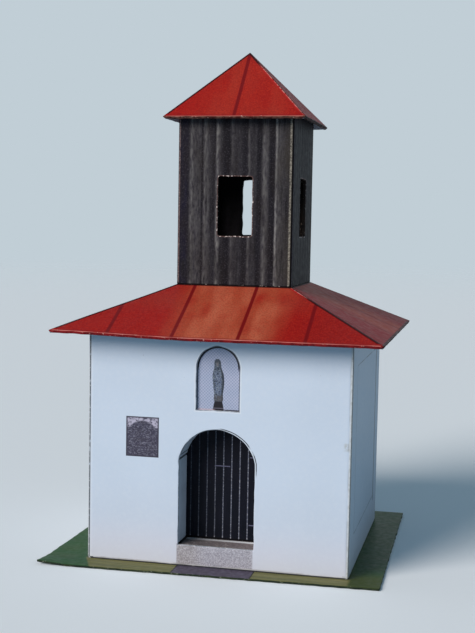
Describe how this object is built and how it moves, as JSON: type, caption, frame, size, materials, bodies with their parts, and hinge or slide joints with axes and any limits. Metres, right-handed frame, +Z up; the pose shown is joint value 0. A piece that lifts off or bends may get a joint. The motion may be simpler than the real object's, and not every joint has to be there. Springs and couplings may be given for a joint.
{
  "type": "card model of a small chapel",
  "caption": "Folded card model of a small white chapel with an arched doorway, a hipped red roof and a square plank tower with a window in each side, on a base card.",
  "frame": {"origin": "under the middle of the chapel walls, on the underside of the base card", "axes": "+Z up, +X to the right of someone facing the doorway, +Y from the doorway towards the back"},
  "size_m": [0.0508, 0.0467, 0.0787],
  "materials": {
    "printed_base_card": "satin green print on card with a grey path",
    "white_card": "satin white card",
    "plank_print_card": "satin dark print of weathered upright boards",
    "red_roof_card": "satin red print with darker seams",
    "stone_print_card": "satin grey stone print",
    "door_print_card": "satin near black print with pale upright lines",
    "niche_print_card": "satin pale lavender print with a small standing figure"
  },
  "bodies": {
    "root": {"base_card": "printed_base_card", "front_wall": "white_card", "tower_front_wall": "plank_print_card", "lower_roof_front": "red_roof_card", "upper_roof_front": "red_roof_card", "right_wall": "white_card", "tower_right_wall": "plank_print_card", "lower_roof_right": "red_roof_card", "upper_roof_right": "red_roof_card", "back_wall": "white_card", "tower_back_wall": "plank_print_card", "lower_roof_back": "red_roof_card", "upper_roof_back": "red_roof_card", "left_wall": "white_card", "tower_left_wall": "plank_print_card", "lower_roof_left": "red_roof_card", "upper_roof_left": "red_roof_card", "roof_deck": "red_roof_card", "left_jamb": "white_card", "right_jamb": "white_card", "arch_lining": "white_card", "threshold": "stone_print_card", "door_panel": "door_print_card", "niche_card": "niche_print_card"}
  },
  "joints": []
}
